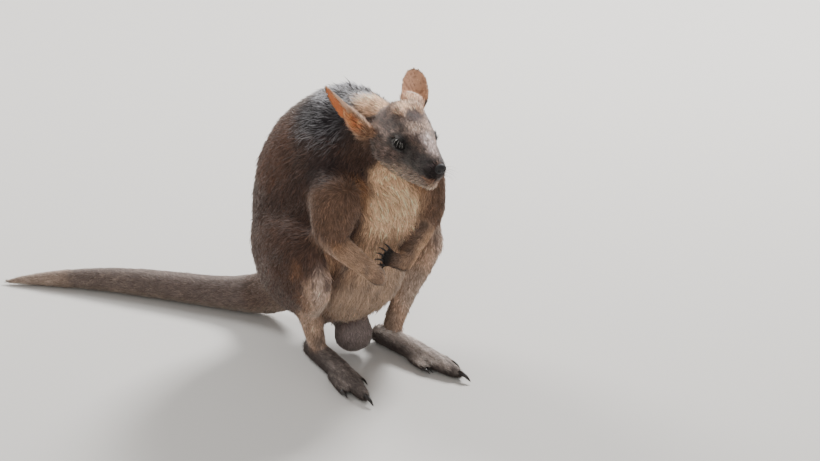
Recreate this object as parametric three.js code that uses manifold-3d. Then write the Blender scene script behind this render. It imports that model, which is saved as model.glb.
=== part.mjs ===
// A parma wallaby, an adult male, sitting up on its hind feet with its tail laid on the ground behind it.
// Life size, in millimetres: +Z is up, the animal faces -Y, and +X is its left.
// Every outline is that of the coat, out to the tips of the hair.
import * as THREE from "three";
import { mergeVertices } from "three/addons/utils/BufferGeometryUtils.js";
import Module from "manifold-3d";

const wasm = await Module();
wasm.setup();

const { degToRad, lerp } = THREE.MathUtils;
const vector = (xyz) => new THREE.Vector3(...xyz);

// ---------------------------------------------------------------------------------------------
// Driving dimensions. Places are measured from the ground midway between the heels.

const GAP = 0.4; // between neighbouring pieces

const HEAD = { between: [-1, -137, 310], nod: 9.5, lean: 6, turn: -5 }; // midway between the eyes; degrees
const HEAD_AHEAD = 53; // from the eyes to the nose
const HEAD_BEHIND = 56; // from the eyes to the back of the skull
const EYE = { radius: 8, out: 19.5 };

const EAR = { halfArc: 21, thick: 2.4 }; // half the width of the leaf, measured round its curve
const EARS = {
  left: { foot: [17, -107, 308], tip: [57, -67, 360], faces: [-0.4, -0.8, 0.45] },
  right: { foot: [-24, -97, 314], tip: [-60, -52, 364], faces: [-0.84, -0.02, -0.62] },
};

const TOE_REACH = 140; // from the ankle's plumb line to the end of the fourth toe, without its claw
const HEEL_BEHIND = 6; // from the same line to the back of the heel
const HEELS = { left: [42, -13], right: [-39, 12] };
const SPLAY = { left: 5, right: 9 }; // degrees outward

const KNEES = { left: [83, -70, 163], right: [-86, -64, 164] };
const HIP = [47, 61, 103]; // of the left side, mirrored for the right

const ARMS = {
  left: {
    shoulder: [56, -72, 246],
    elbow: [63, -83, 178],
    wrist: [0, -116, 153],
    fingertips: [-32, -108, 172],
  },
  right: {
    shoulder: [-57, -69, 250],
    elbow: [-77, -79, 194],
    wrist: [-42, -122, 150],
    fingertips: [-16, -99, 140],
  },
};

const SCROTUM = { at: [1, -22, 31], radius: 26 };

const TAIL_CUTS = [0.34, 0.6, 0.82]; // shares of the tail's length where one piece ends and the next begins

const COLOURS = {
  back: 0x4f4038,
  flank: 0x6f5947,
  head: 0x6a5c50,
  throat: 0xcdbda6,
  ear: 0x93715a,
  arm: 0x7b6754,
  foot: 0x575049,
  tail: 0x85796e,
  hand: 0x2b2522,
  claw: 0x1d1a18,
  nose: 0x1f1b1a,
  eye: 0x140e0b,
};

// ---------------------------------------------------------------------------------------------
// Shapes

/** Shared vertices and positions only, as a closed mesh needs. */
function closed(geometry) {
  geometry.deleteAttribute("normal");
  geometry.deleteAttribute("uv");
  return mergeVertices(geometry, 1e-3);
}

/** A sphere whose every vertex is moved to `place(p)`, where p is its place on the unit sphere. */
function fromSphere(sides, rings, place) {
  const shape = closed(new THREE.SphereGeometry(1, sides, rings));
  const { position } = shape.attributes;
  const p = new THREE.Vector3();
  for (let i = 0; i < position.count; i++) {
    const at = place(p.fromBufferAttribute(position, i));
    position.setXYZ(i, at.x, at.y, at.z);
  }
  return shape;
}

/**
 * A rounded body drawn along a smooth path: a sphere pulled out so that its poles are the two ends.
 * A station is [x, y, z, half width, half depth], with the width along `side` and the depth across it.
 * `cap` is the share of the half length over which each end rounds off.
 */
function bodyAlong(stations, { side = [1, 0, 0], sides = 16, rings = 12, cap = 0.25 } = {}) {
  const path = new THREE.CatmullRomCurve3(stations.map(([x, y, z]) => new THREE.Vector3(x, y, z)));
  const size = new THREE.CatmullRomCurve3(stations.map(([, , , w, d]) => new THREE.Vector3(w, d, 0)));
  const wide = vector(side);
  return fromSphere(sides, rings, ({ x, y, z }) => {
    const share = (1 - y) / 2;
    const fromEnd = Math.max(0, (Math.abs(y) - 1 + cap) / cap);
    const fullness = Math.sqrt(1 - Math.min(1, fromEnd) ** 2);
    const ring = Math.hypot(x, z) || 1;
    const { x: width, y: depth } = size.getPoint(share);
    const tangent = path.getTangent(share);
    const across = tangent.clone().cross(wide).normalize();
    const outward = across.clone().cross(tangent);
    return path
      .getPoint(share)
      .addScaledVector(outward, (-width * fullness * x) / ring)
      .addScaledVector(across, (-depth * fullness * z) / ring);
  });
}

/** Moves the vertices near each bump by its push. Bumps are given on the left and work on both sides. */
function swell(shape, bumps) {
  const { position } = shape.attributes;
  const p = new THREE.Vector3();
  const mirrored = new THREE.Vector3();
  for (let i = 0; i < position.count; i++) {
    p.fromBufferAttribute(position, i);
    mirrored.set(Math.abs(p.x), p.y, p.z);
    for (const { at, reach, push } of bumps) {
      const weight = Math.exp(-mirrored.distanceToSquared(vector(at)) / reach ** 2);
      p.addScaledVector(vector([push[0] * Math.sign(p.x), push[1], push[2]]), weight);
    }
    position.setXYZ(i, p.x, p.y, p.z);
  }
  return shape;
}

const ellipsoid = (centre, halves, sides = 14, rings = 9) =>
  closed(new THREE.SphereGeometry(1, sides, rings).scale(...halves).translate(...centre));

/** The stations of a straight limb from one place to another: [share of the way, half width, half depth]. */
const between = (from, to, shares) =>
  shares.map(([share, ...sizes]) => [...vector(from).lerp(vector(to), share).toArray(), ...sizes]);

/** Puts an object at `from`, pointing its -Y end at `to` with its +Z side toward `up`. */
function aim(object, from, to, up) {
  const back = vector(from).sub(vector(to)).normalize();
  const left = back.clone().cross(vector(up)).normalize();
  object.position.set(...from);
  const axes = new THREE.Matrix4().makeBasis(left, back, left.clone().cross(back));
  object.quaternion.setFromRotationMatrix(axes);
}

// ---------------------------------------------------------------------------------------------
// Scene graph. The meshes are listed in the order in which they claim their space: each one
// gives way to those before it.

const wallaby = new THREE.Group();
wallaby.name = "parma_wallaby";
const pieces = [];

function addMesh(parent, name, colour, shapes, roughness = 0.9) {
  const material = new THREE.MeshStandardMaterial({ color: colour, roughness, metalness: 0 });
  const mesh = new THREE.Mesh(shapes[0], material);
  mesh.name = name;
  parent.add(mesh);
  pieces.push({ mesh, shapes });
  return mesh;
}

function addGroup(parent, name) {
  const group = new THREE.Group();
  group.name = name;
  parent.add(group);
  return group;
}

const SIDES = [
  ["left", 1],
  ["right", -1],
];

// ---------------------------------------------------------------------------------------------
// Head, laid out level about the point midway between the eyes

/** Brain case, cheeks and upper jaw. */
function skull() {
  const face = bodyAlong(
    [
      [0, -HEAD_AHEAD, -14, 9.5, 12],
      [0, -43, -13, 13, 16],
      [0, -28, -10.5, 16, 19.5],
      [0, -13, -8, 19.5, 24],
      [0, 2, -6, 24.5, 29],
      [0, 17, -5, 28.5, 33],
      [0, 32, -4, 29, 34],
      [0, 45, -4, 26, 30],
      [0, HEAD_BEHIND, -4, 18, 21],
    ],
    { sides: 18, rings: 15, cap: 0.1 },
  );
  return swell(face, [
    { at: [21, 0, 13], reach: 13, push: [3.5, 0, 2] }, // brow
    { at: [26, 24, -28], reach: 21, push: [6, 3, -8] }, // cheek
    { at: [16, 24, 24], reach: 12, push: [1, 4, 11] }, // root of the ear
    { at: [0, 22, 30], reach: 12, push: [0, 0, -4] }, // dip in the crown
  ]);
}

function lowerJaw() {
  return bodyAlong(
    [
      [0, -48, -30, 6.5, 5.5],
      [0, -38, -31.5, 9.5, 8],
      [0, -20, -34, 13, 10.5],
      [0, 2, -36.5, 17.5, 12],
      [0, 20, -37, 20, 13],
      [0, 36, -34, 19, 12],
    ],
    { sides: 10, rings: 9, cap: 0.2 },
  );
}

/** An ear lying along -Y, hollow side down: a leaf rolled nearly shut at its foot, with a round open tip. */
function earLeaf(length) {
  return fromSphere(12, 12, ({ x, y, z }) => {
    const share = (1 + y) / 2;
    const toTip = Math.max(0, (share - 0.4) / 0.6);
    const foot = Math.sqrt(1 - Math.max(0, 1 - share / 0.1) ** 2);
    const arc = EAR.halfArc * lerp(0.85, 1, Math.min(1, share * 2)) * Math.sqrt(1 - toTip ** 2.2) * foot;
    const radius = lerp(11, 23, share);
    const ring = Math.hypot(x, z) || 1;
    const angle = (arc / radius) * (x / ring);
    const r = radius + (z / ring) * foot * (EAR.thick / 2) * Math.min(1, 3 - 3 * share);
    return new THREE.Vector3(-r * Math.sin(angle), -length * share, r * Math.cos(angle) - radius);
  });
}

/** The woolly cone that carries an ear, from inside the skull to the open part of the leaf. */
const earRoot = (medial) =>
  bodyAlong(
    [
      [0, 2, -8, 12, 11],
      [2 * medial, -18, -8, 16, 11],
      [3 * medial, -34, -5.5, 14.5, 6.5],
      [2 * medial, -45, -3, 10, 2.5],
    ],
    { sides: 7, rings: 5, cap: 0.3 },
  );

const head = addGroup(wallaby, "head_group");
head.position.set(...HEAD.between);
head.rotation.set(degToRad(HEAD.nod), degToRad(HEAD.lean), degToRad(HEAD.turn), "ZYX");
head.updateMatrixWorld();

for (const [side, sign] of SIDES) {
  const eye = addMesh(head, `eye_${side}`, COLOURS.eye, [new THREE.SphereGeometry(EYE.radius, 11, 8)], 0.1);
  eye.position.x = sign * EYE.out;
}
addMesh(head, "head", COLOURS.head, [skull()]);
addMesh(head, "nose_pad", COLOURS.nose, [ellipsoid([0, -HEAD_AHEAD + 1, -7], [8, 4.5, 6.5], 10, 6)], 0.5);
addMesh(head, "lower_jaw", COLOURS.throat, [lowerJaw()]);
for (const [side, sign] of SIDES) {
  const { foot, tip, faces } = EARS[side];
  const leaf = earLeaf(vector(foot).distanceTo(vector(tip)));
  const ear = addMesh(wallaby, `ear_${side}`, COLOURS.ear, [leaf, earRoot(-sign)]);
  aim(ear, foot, tip, faces.map((value) => -value));
  head.attach(ear);
}

// ---------------------------------------------------------------------------------------------
// Claws, hands and feet, each along -Y from its own root

const claw = (length, halfWidth) =>
  bodyAlong(
    [
      [0, 1.5, 0, halfWidth, halfWidth * 1.1],
      [0, -length * 0.5, halfWidth * 0.2, halfWidth * 0.8, halfWidth],
      [0, -length, -length * 0.22, 0.6, 0.6],
    ],
    { sides: 5, rings: 4 },
  );

function addClaw(parent, name, [x, y, z], length, halfWidth, turn = 0) {
  const mesh = addMesh(parent, name, COLOURS.claw, [claw(length, halfWidth)], 0.4);
  mesh.position.set(x, y, z);
  mesh.rotation.z = turn;
}

/** Sole at Z 0: the long fourth toe carries the weight, the fifth lies outside it, a joined pair inside. */
function hindFoot(sign) {
  const sideToe = { sides: 6, rings: 5 };
  return [
    bodyAlong(
      [
        [0, HEEL_BEHIND, 9, 9, 10],
        [0, -16, 14, 12, 15],
        [0, -50, 13, 13.5, 14.5],
        [0, -82, 11, 14.5, 13],
        [sign, -110, 9, 11.5, 11],
        [2 * sign, -TOE_REACH, 6, 7.5, 7.5],
      ],
      { sides: 10, rings: 10, cap: 0.14 },
    ),
    bodyAlong(
      [
        [9 * sign, -66, 8, 7, 8],
        [14 * sign, -92, 7, 6.5, 8],
        [17 * sign, -112, 5.5, 5, 6],
      ],
      sideToe,
    ),
    bodyAlong(
      [
        [-8 * sign, -60, 8, 6, 8],
        [-14 * sign, -84, 7, 5.5, 7],
        [-15 * sign, -99, 5.5, 4.5, 5.5],
      ],
      sideToe,
    ),
  ];
}

/** Shares of a limb's way from its first place to its second, with the half width and half depth there. */
const FINGER_GIRTHS = [
  [0.3, 4, 4.4],
  [0.7, 3.5, 4],
  [1, 3, 3.2],
];
const UPPER_ARM_GIRTHS = [
  [-0.25, 24, 28],
  [0.2, 29, 36],
  [0.6, 26, 33],
  [1, 19, 24],
  [1.22, 12, 15],
];
const FOREARM_GIRTHS = [
  [-0.12, 13, 15],
  [0.2, 15, 16.5],
  [0.6, 12.5, 13],
  [0.88, 11.5, 12],
  [1.1, 10.5, 11],
];

/** Palm down, with five short fingers spread a little. */
function foreHand(spread) {
  const palm = bodyAlong(
    [
      [0, 4, 0, 8, 8],
      [0, -8, 0, 9.5, 7.5],
      [0, -20, 0, 10, 5.5],
    ],
    { sides: 8, rings: 5 },
  );
  const fingers = spread.map(([turn, reach]) => {
    const tip = [-Math.sin(turn) * reach, -Math.cos(turn) * reach, -2];
    const finger = between([0, -4, 0], tip, FINGER_GIRTHS);
    return bodyAlong(finger, { sides: 5, rings: 3 });
  });
  return [palm, ...fingers];
}

// Name, root, length and half width
const TOE_CLAWS = [
  ["fourth", [2, -TOE_REACH + 6, 7.5], 20, 3.6],
  ["fifth", [17.5, -110, 5.5], 12, 2.4],
  ["second", [-17.5, -97, 5.5], 10, 1.7],
  ["third", [-13, -98, 5.5], 10, 1.7],
];
const FINGERS = [-0.38, -0.19, 0, 0.19, 0.38].map((turn) => [turn, 31 - 24 * turn * turn]);

// ---------------------------------------------------------------------------------------------
// Trunk and neck

function trunk() {
  const barrel = bodyAlong(
    [
      [0, 54, 42, 42, 42],
      [0, 31, 92, 75, 84],
      [0, 18, 142, 87, 103],
      [0, 10, 192, 88, 108],
      [0, -8, 242, 79, 98],
      [0, -34, 284, 60, 68],
      [0, -64, 306, 42, 42],
    ],
    { sides: 20, rings: 15, cap: 0.25 },
  );
  return swell(barrel, [
    { at: [14, -86, 222], reach: 44, push: [4, -20, -4] }, // chest
    { at: [58, -52, 252], reach: 36, push: [9, -12, 2] }, // shoulder
    { at: [22, -50, 92], reach: 46, push: [4, -8, -5] }, // belly
  ]);
}

function neck() {
  return bodyAlong(
    [
      [0, -34, 282, 50, 54],
      [0, -62, 290, 43, 51],
      [-1, -84, 296, 34, 43],
      [-1, -104, 300, 26, 34],
    ],
    { sides: 12, rings: 7, cap: 0.35 },
  );
}

addMesh(wallaby, "trunk", COLOURS.back, [trunk()]);
addMesh(wallaby, "neck", COLOURS.flank, [neck()]);

// ---------------------------------------------------------------------------------------------
// Hind legs

function thigh(sign, [kneeX, kneeY, kneeZ]) {
  const [hipX, hipY, hipZ] = [HIP[0] * sign, HIP[1], HIP[2]];
  return bodyAlong(
    [
      [hipX - 3 * sign, hipY + 4, hipZ - 2, 27, 52],
      [hipX + 6 * sign, hipY - 20, hipZ + 14, 37, 69],
      [lerp(hipX, kneeX, 0.55), lerp(hipY, kneeY, 0.5), lerp(hipZ, kneeZ, 0.6), 37, 68],
      [lerp(hipX, kneeX, 0.85), lerp(hipY, kneeY, 0.8), lerp(hipZ, kneeZ, 0.9), 29, 48],
      [kneeX, kneeY - 12, kneeZ, 21, 31],
    ],
    { sides: 14, rings: 9, cap: 0.45 },
  );
}

function shank(sign, [kneeX, kneeY, kneeZ], [heelX, heelY]) {
  return bodyAlong(
    [
      [kneeX, kneeY + 2, kneeZ - 4, 19, 25],
      [kneeX - 9 * sign, kneeY + 12, kneeZ - 48, 16, 22],
      [heelX + 25 * sign, heelY - 30, 78, 14, 18],
      [heelX + 12 * sign, heelY - 26, 46, 13, 15.5],
      [heelX + 5 * sign, heelY - 22, 22, 12.5, 15],
    ],
    { sides: 12, rings: 10, cap: 0.2 },
  );
}

for (const [side, sign] of SIDES) {
  addMesh(wallaby, `thigh_${side}`, COLOURS.flank, [thigh(sign, KNEES[side])]);
  addMesh(wallaby, `shank_${side}`, COLOURS.flank, [shank(sign, KNEES[side], HEELS[side])]);
  const foot = addGroup(wallaby, `hind_foot_group_${side}`);
  foot.position.set(...HEELS[side], 0);
  foot.rotation.z = degToRad(sign * SPLAY[side]);
  addMesh(foot, `hind_foot_${side}`, COLOURS.foot, hindFoot(sign));
  for (const [toe, [out, y, z], length, halfWidth] of TOE_CLAWS)
    addClaw(foot, `${toe}_toe_claw_${side}`, [out * sign, y, z], length, halfWidth);
}

// ---------------------------------------------------------------------------------------------
// Forelimbs, folded over the belly with the hands hanging from bent wrists

for (const [side, sign] of SIDES) {
  const { shoulder, elbow, wrist, fingertips } = ARMS[side];
  const upper = bodyAlong(between(shoulder, elbow, UPPER_ARM_GIRTHS), { sides: 14, rings: 9, cap: 0.35 });
  const lower = bodyAlong(between(elbow, wrist, FOREARM_GIRTHS), { sides: 12, rings: 8, cap: 0.2 });
  addMesh(wallaby, `upper_arm_${side}`, COLOURS.arm, [upper]);
  addMesh(wallaby, `forearm_${side}`, COLOURS.arm, [lower]);

  const hand = addGroup(wallaby, `hand_group_${side}`);
  aim(hand, wrist, fingertips, [-0.2 * sign, -1, 0.2]);
  addMesh(hand, `hand_${side}`, COLOURS.hand, foreHand(FINGERS));
  FINGERS.forEach(([turn, reach], i) => {
    const root = [-Math.sin(turn) * reach, -Math.cos(turn) * reach, -1.5];
    addClaw(hand, `finger_claw_${i + 1}_${side}`, root, 8, 1.6, -turn);
  });
}

// ---------------------------------------------------------------------------------------------
// Scrotum, hung between the heels

function scrotum() {
  const [x, y, z] = SCROTUM.at;
  const r = SCROTUM.radius;
  return bodyAlong(
    [
      [x, y + 8, z + 26, r * 0.5, r * 0.45],
      [x, y + 3, z + 12, r * 0.85, r * 0.75],
      [x, y - 1, z - 6, r, r * 0.9],
      [x, y - 2, z - r, r * 0.6, r * 0.5],
    ],
    { sides: 10, rings: 7, cap: 0.35 },
  );
}

addMesh(wallaby, "scrotum", COLOURS.foot, [scrotum()]);

// ---------------------------------------------------------------------------------------------
// Tail: heavy at its root, down to the ground behind the rump and along it in a slow curve to its right

const TAIL = [
  [0, 52, 90, 36, 40],
  [-4, 86, 60, 30, 36],
  [-13, 118, 34, 25, 31],
  [-28, 148, 24, 21.5, 25],
  [-50, 186, 20, 20, 22],
  [-86, 246, 18, 18.5, 20],
  [-126, 306, 15, 15, 17],
  [-172, 362, 9, 9.5, 11],
  [-211, 400, 3.5, 3, 4],
];

/** The plane across a path at a share of its length: the normal of the side that is kept, and its offset. */
function planeAcross(path, share, sign) {
  const normal = path.getTangent(share).multiplyScalar(sign);
  return [normal.toArray(), normal.dot(path.getPoint(share)) + GAP / 2];
}

function addTail() {
  const whole = solidOf(bodyAlong(TAIL, { sides: 10, rings: 20, cap: 0.06 }));
  const path = new THREE.CatmullRomCurve3(TAIL.map(([x, y, z]) => new THREE.Vector3(x, y, z)));
  const cuts = [null, ...TAIL_CUTS, null];
  ["tail_root", "tail_upper", "tail_lower", "tail_tip"].forEach((name, i) => {
    let length = whole;
    if (cuts[i]) length = length.trimByPlane(...planeAcross(path, cuts[i], 1));
    if (cuts[i + 1]) length = length.trimByPlane(...planeAcross(path, cuts[i + 1], -1));
    addMesh(wallaby, name, COLOURS.tail, [geometryOf(length)]);
  });
}

// ---------------------------------------------------------------------------------------------
// Solids

function solidOf(geometry) {
  const { attributes, index } = closed(geometry.clone());
  const triVerts = new Uint32Array(index.array);
  const { array: vertProperties } = attributes.position;
  return new wasm.Manifold(new wasm.Mesh({ numProp: 3, vertProperties, triVerts }));
}

function geometryOf(solid) {
  const { numProp, vertProperties, triVerts } = solid.getMesh();
  const corners = Float32Array.from({ length: (vertProperties.length / numProp) * 3 }, (_, i) =>
    vertProperties[Math.floor(i / 3) * numProp + (i % 3)]);
  const geometry = new THREE.BufferGeometry();
  geometry.setAttribute("position", new THREE.BufferAttribute(corners, 3));
  geometry.setIndex(new THREE.BufferAttribute(new Uint32Array(triVerts), 1));
  geometry.computeVertexNormals();
  return geometry;
}

/** A copy with each vertex pushed out along its normal by the gap that is left around a piece. */
function withGap(geometry) {
  const grown = closed(geometry.clone());
  grown.computeVertexNormals();
  const { position, normal } = grown.attributes;
  const p = new THREE.Vector3();
  const n = new THREE.Vector3();
  for (let i = 0; i < position.count; i++) {
    p.fromBufferAttribute(position, i).addScaledVector(n.fromBufferAttribute(normal, i), GAP);
    position.setXYZ(i, p.x, p.y, p.z);
  }
  return grown;
}

const joined = (geometries) => geometries.map(solidOf).reduce((whole, next) => whole.add(next));
const largest = (solid) => solid.decompose().sort((a, b) => b.volume() - a.volume())[0];

function meet(a, b) {
  const [p, q] = [a.boundingBox(), b.boundingBox()];
  return [0, 1, 2].every((k) => p.min[k] <= q.max[k] && q.min[k] <= p.max[k]);
}

/** Cuts each piece clear of the ground and of every piece before it. */
function partPieces() {
  const taken = [solidOf(new THREE.BoxGeometry(2000, 2000, 200).translate(0, 0, -100))];
  wallaby.updateMatrixWorld(true);
  for (const { mesh, shapes } of pieces) {
    const placed = shapes.map((shape) => shape.clone().applyMatrix4(mesh.matrixWorld));
    const whole = joined(placed);
    const neighbours = taken.filter((other) => meet(whole, other));
    const rest = neighbours.reduce((left, other) => left.subtract(other), whole);
    if (rest.isEmpty()) throw new Error(`${mesh.name} is hidden inside the pieces before it`);
    mesh.geometry = geometryOf(largest(rest)).applyMatrix4(mesh.matrixWorld.clone().invert());
    taken.push(joined(placed.map(withGap)));
  }
}

addTail();
partPieces();

// The origin goes on the ground under the middle of the animal's box.
const centre = new THREE.Box3().setFromObject(wallaby).getCenter(new THREE.Vector3());
wallaby.position.set(-centre.x, -centre.y, 0);

export default wallaby;
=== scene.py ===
import math

import bmesh
import bpy
import numpy as np
from mathutils import Euler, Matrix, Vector
from mathutils.bvhtree import BVHTree
from mathutils.kdtree import KDTree


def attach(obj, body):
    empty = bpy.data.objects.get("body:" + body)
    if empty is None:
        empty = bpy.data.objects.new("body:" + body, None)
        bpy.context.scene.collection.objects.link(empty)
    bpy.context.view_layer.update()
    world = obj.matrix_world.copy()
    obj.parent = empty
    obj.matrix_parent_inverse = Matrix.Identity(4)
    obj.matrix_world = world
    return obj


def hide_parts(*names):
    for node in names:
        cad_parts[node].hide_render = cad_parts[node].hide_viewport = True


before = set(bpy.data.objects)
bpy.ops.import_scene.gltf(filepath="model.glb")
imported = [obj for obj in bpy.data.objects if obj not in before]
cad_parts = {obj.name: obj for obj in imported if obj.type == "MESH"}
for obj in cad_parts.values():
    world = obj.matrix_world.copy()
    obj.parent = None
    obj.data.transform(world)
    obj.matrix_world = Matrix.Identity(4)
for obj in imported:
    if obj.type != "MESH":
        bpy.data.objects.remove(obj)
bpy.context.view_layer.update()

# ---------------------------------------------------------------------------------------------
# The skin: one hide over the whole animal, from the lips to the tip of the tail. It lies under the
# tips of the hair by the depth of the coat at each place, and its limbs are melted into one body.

MM = 0.001
HEELS_MIDWAY = np.array((52.471, -101.326, 0.0))  # on the ground, in mm; the places below are from here
HEAD_PLACE = np.array((-1.0, -137.0, 310.0))  # midway between the eyes
HEAD_TURN = np.array(Euler([math.radians(a) for a in (9.5, 6, -5)], "XYZ").to_matrix())

# Depth of the coat, length and width of a lock, its lift in degrees, how far the part melts into the
# next, and the way its hair lies. Parts in pairs have their left side's values mirrored. An ear is too
# thin to shrink by a coat, so its depth takes back most of GROWTH and leaves the hide 0.1 mm inside.
COAT = {
    "head": (1.9, 4.8, 1.0, 25, 0.1, HEAD_TURN @ (0, 1, 0.3)),
    "lower_jaw": (1.7, 5.3, 1.0, 22, 0.08, HEAD_TURN @ (0, 1, -0.2)),
    "ear": (-0.35, 2.4, 0.6, 13, 0.03, (0.39, 0.41, 0.48)),
    "neck": (4.2, 10.0, 1.15, 19, 1.0, (0, 0.5, -1)),
    "trunk": (5.0, 11.5, 1.25, 17, 1.0, (0, 0.35, -1)),
    "thigh": (4.4, 10.0, 1.2, 15, 1.0, (0, 0.3, -1)),
    "shank": (2.8, 8.0, 1.15, 17, 0.5, (0, 0.2, -1)),
    "hind_foot": (1.7, 6.5, 0.9, 13, 0.05, (0, -1, -0.12)),
    "upper_arm": (4.0, 9.0, 1.15, 16, 1.0, (0, 0.1, -1)),
    "forearm": (2.0, 6.5, 1.0, 15, 0.2, (-0.6, -0.5, -0.5)),
    "hand": (0.9, 3.8, 0.8, 15, 0.0, (-0.8, 0.4, 0.1)),
    "scrotum": (1.4, 4.5, 0.9, 14, 0.3, (0, -0.2, -1)),
    "tail_root": (3.0, 8.0, 1.2, 15, 0.7, (-0.1, 0.85, -0.5)),
    "tail_upper": (2.2, 7.0, 1.0, 13, 0.3, (-0.3, 0.95, -0.15)),
    "tail_lower": (1.9, 6.5, 1.0, 13, 0.3, (-0.52, 0.85, 0)),
    "tail_tip": (1.4, 6.5, 0.9, 13, 0.2, (-0.63, 0.77, 0)),
}
SIDED = {"ear", "thigh", "shank", "hind_foot", "upper_arm", "forearm", "hand"}
OWN_LIE = {"forearm_right": (0.5, -0.6, -0.6), "hand_right": (0.6, 0.6, -0.3)}  # they cross the belly
EAR_CONE_COAT = np.array((3.0, 10.5, 1.0, 34, 0.25))  # the same on the tufted cone under each ear
EAR_FEET = np.array(((17, -107, 308), (-24, -97, 314)), float)  # left, right
GROWTH = 0.45  # closes the thin cuts between the parts before they are melted together
MELT_GRID = 1.45  # the size of the cubes that the parts are melted into
MELT_ROUNDS = 110  # of evening out, where a part melts fully into the next
SKIN_TRIANGLES = 150000
GROUND_GAP = 0.15  # the hide and the hair are pressed flat this far above the ground

flesh = []  # node name, part name, +1 for the left or middle and -1 for the right
for part in COAT:
    if part in SIDED:
        flesh += [(f"{part}_left", part, 1), (f"{part}_right", part, -1)]
    else:
        flesh.append((part, part, 1))
node_names = [name for name, _, _ in flesh]
part_names = np.array([part for _, part, _ in flesh])

corners, tris, tri_owner = [], [], []
block = bmesh.new()
buried = [(name, node_names.index("head")) for name in ("eye_left", "eye_right", "nose_pad")]
for name, owner in [(name, owner) for owner, name in enumerate(node_names)] + buried:
    one = bmesh.new()
    one.from_mesh(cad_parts[name].data)
    bmesh.ops.remove_doubles(one, verts=one.verts, dist=1e-6)
    one.normal_update()
    start = len(corners)
    one.verts.index_update()
    corners += [v.co.copy() for v in one.verts]
    for face in one.faces:
        tris.append([start + v.index for v in face.verts])
        tri_owner.append(owner)
    for v in one.verts:
        v.co += v.normal * GROWTH * MM
    mesh = bpy.data.meshes.new(name)
    one.to_mesh(mesh)
    one.free()
    block.from_mesh(mesh)
    bpy.data.meshes.remove(mesh)
mesh = bpy.data.meshes.new("skin")
block.to_mesh(mesh)
block.free()
skin = bpy.data.objects.new("skin", mesh)
bpy.context.scene.collection.objects.link(skin)


def through_modifiers(piece):
    """Gives the piece the mesh that its modifiers make of it, and takes them off."""
    made = piece.evaluated_get(bpy.context.evaluated_depsgraph_get())
    mesh = bpy.data.meshes.new_from_object(made)
    piece.modifiers.clear()
    old, piece.data = piece.data, mesh
    bpy.data.meshes.remove(old)


remesh = skin.modifiers.new("melt", "REMESH")
remesh.mode, remesh.voxel_size = "VOXEL", MELT_GRID * MM
through_modifiers(skin)


def places_of(mesh):
    """The vertices' places in mm from the ground midway between the heels."""
    flat = np.empty(len(mesh.vertices) * 3, dtype=np.float32)
    mesh.vertices.foreach_get("co", flat)
    return flat.reshape(-1, 3).astype(float) / MM - HEELS_MIDWAY


def put_places(mesh, places):
    flat = ((places + HEELS_MIDWAY) * MM).astype(np.float32)
    mesh.vertices.foreach_set("co", flat.ravel())
    mesh.update()


def normals_of(mesh):
    flat = np.empty(len(mesh.vertices) * 3, dtype=np.float32)
    mesh.vertices.foreach_get("normal", flat)
    return flat.reshape(-1, 3).astype(float)


def edges_of(mesh):
    flat = np.empty(len(mesh.edges) * 2, dtype=np.int32)
    mesh.edges.foreach_get("vertices", flat)
    return flat.reshape(-1, 2)


def spread(values, edges, rounds, share=0.5):
    """Evens values out along the mesh. `share` may differ from vertex to vertex."""
    a, b = np.r_[edges[:, 0], edges[:, 1]], np.r_[edges[:, 1], edges[:, 0]]
    count = len(values)
    links = np.maximum(np.bincount(a, minlength=count), 1)[:, None]
    values = values.reshape(count, -1).copy()
    share = np.broadcast_to(np.asarray(share, float).reshape(-1, 1), (count, 1))
    for _ in range(rounds):
        for k in range(values.shape[1]):
            mean = np.bincount(a, weights=values[b, k], minlength=count)[:, None] / links
            values[:, k] += (share * (mean - values[:, k : k + 1]))[:, 0]
    return values


def unit(vectors):
    return vectors / np.maximum(np.linalg.norm(vectors, axis=-1, keepdims=True), 1e-9)


def ease(value, low, high):
    """0 below low and 1 above high, with a soft step between."""
    t = np.clip((value - low) / (high - low), 0, 1)
    return t * t * (3 - 2 * t)


def from_nearest(p, spots):
    """Distance of each place from the nearest of a few spots."""
    return np.linalg.norm(p[:, None] - spots, axis=2).min(1)


solids = BVHTree.FromPolygons(corners, tris)
tri_owner = np.array(tri_owner)
owners = np.array([tri_owner[solids.find_nearest(v.co)[2]] for v in skin.data.vertices])

coat_of = np.array(
    [[*COAT[part][:5], *unit(np.array(COAT[part][5]) * (side, 1, 1))] for _, part, side in flesh]
)
for name, lie in OWN_LIE.items():
    coat_of[node_names.index(name), 5:] = unit(np.array(lie))

edges = edges_of(skin.data)
coat = coat_of[owners]
places = places_of(skin.data)
cone = ((part_names[owners] == "ear") * (1 - ease(from_nearest(places, EAR_FEET), 24, 44)))[:, None]
coat[:, :5] += (EAR_CONE_COAT - coat[:, :5]) * cone
melts = np.clip(spread(coat[:, 4:5], edges, 12), 0, 1)
places = spread(places, edges, MELT_ROUNDS, 0.6 * melts)
for _ in range(5):  # evens out the steps without thinning the ears and fingers
    places = spread(spread(places, edges, 1, 0.5), edges, 1, -0.52)
put_places(skin.data, places)
coat = spread(coat, edges, 14)
normals = unit(spread(normals_of(skin.data), edges, 3))
places -= normals * (coat[:, :1] + GROWTH)
places[:, 2] = np.maximum(places[:, 2], GROUND_GAP)
put_places(skin.data, places)

# Fewer faces where the hide is smooth
before = KDTree(len(places))
for i, p in enumerate(places):
    before.insert(p, i)
before.balance()
thin = skin.modifiers.new("thin", "DECIMATE")
thin.ratio = min(1, SKIN_TRIANGLES / sum(len(p.vertices) - 2 for p in skin.data.polygons))
through_modifiers(skin)

# ---------------------------------------------------------------------------------------------
# Eyelids and lips: the hide is drawn in over each eyeball to a slit with a thick dark rim, and is
# creased along the lips. Both are laid out level about the point midway between the eyes.

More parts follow.
